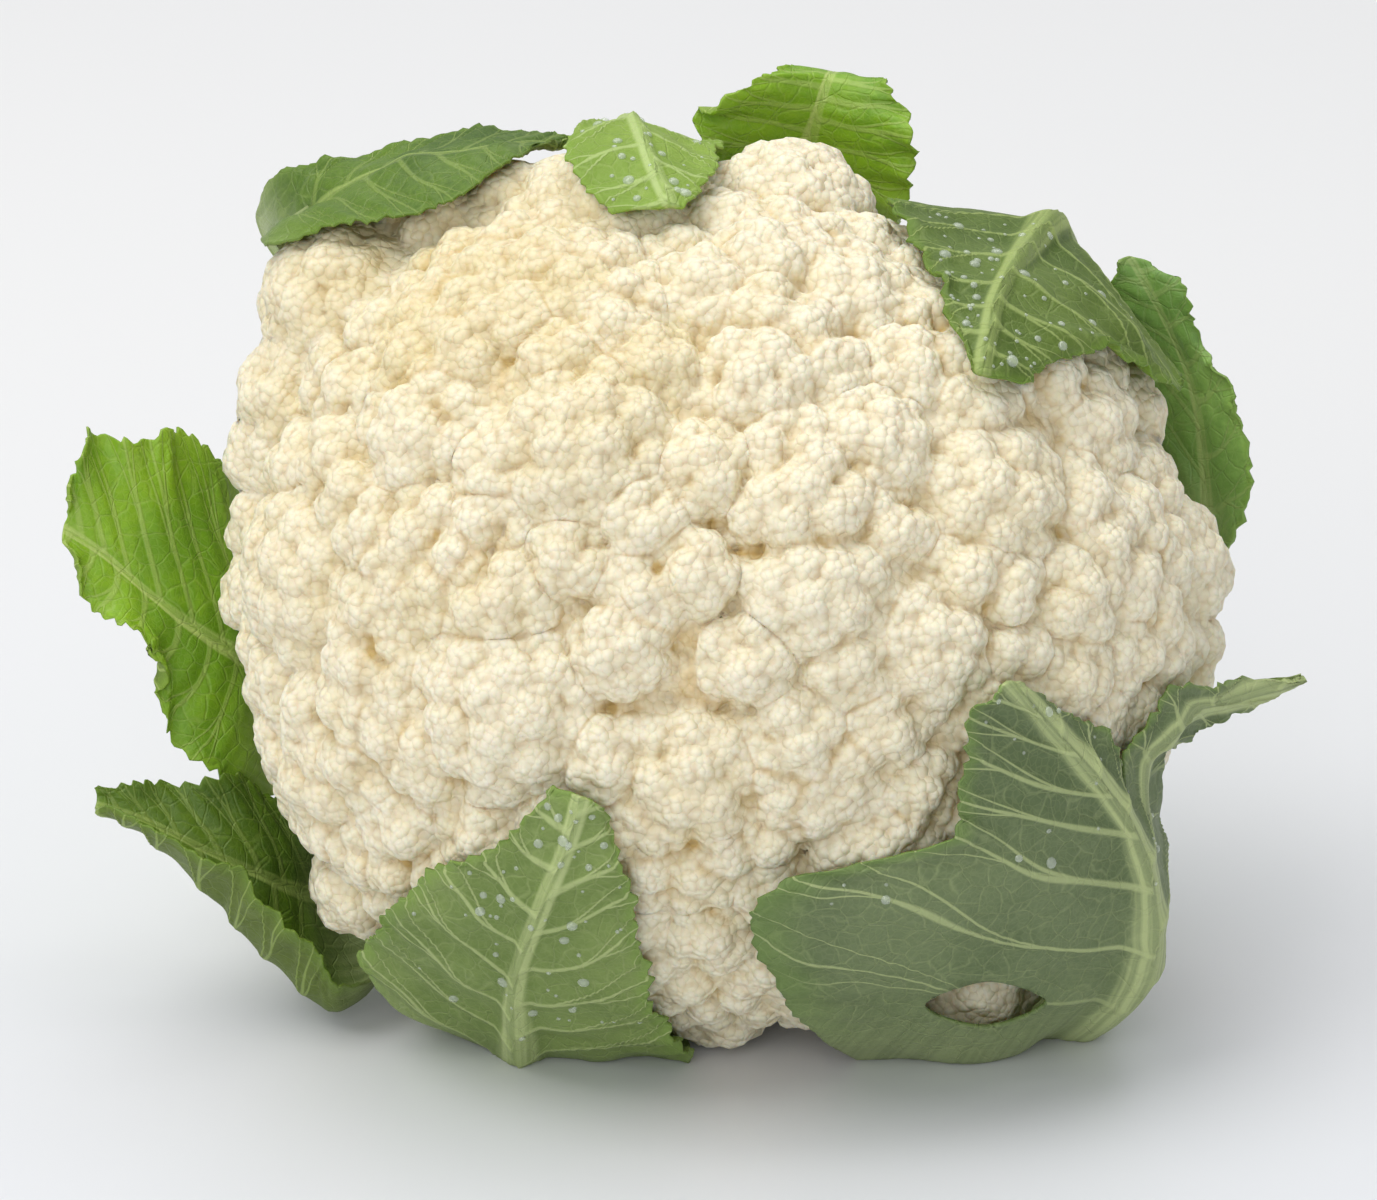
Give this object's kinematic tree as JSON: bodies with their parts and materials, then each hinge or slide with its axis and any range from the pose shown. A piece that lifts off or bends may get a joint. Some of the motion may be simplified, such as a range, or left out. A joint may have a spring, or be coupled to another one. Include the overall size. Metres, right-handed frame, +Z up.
{
  "type": "cauliflower",
  "caption": "Whole cauliflower head lying on its side: knobbly cream curd of packed florets, cut stem at the back and trimmed green leaves wrapped round it.",
  "frame": {"origin": "middle of the head's bounding box at table level, which is Z = 0", "axes": "+X to the head's right as seen from the front, -Y towards the viewer, who sees the curd's face, +Z up; the curd's face looks forward and 20 degrees up, the cut stem points back and slightly down"},
  "size_m": [0.2235, 0.1623, 0.1617],
  "materials": {
    "curd": "matte, warm cream",
    "stem": "satin, pale green white",
    "leaf_bright": "satin, bright yellow green",
    "leaf_dark": "satin, dark green",
    "leaf_grey": "satin, grey green with a waxy bloom"
  },
  "bodies": {
    "root": {"curd": "curd", "stem": "stem", "leaf_top_back": "leaf_bright", "leaf_top_small": "leaf_bright", "leaf_top_left": "leaf_dark", "leaf_back_left": "leaf_dark", "leaf_left": "leaf_bright", "leaf_lower_left": "leaf_dark", "leaf_front_left": "leaf_grey", "leaf_back_under": "leaf_grey", "leaf_front_right": "leaf_grey", "leaf_back_right": "leaf_grey", "leaf_right": "leaf_dark", "leaf_upper_right": "leaf_bright"}
  },
  "joints": []
}
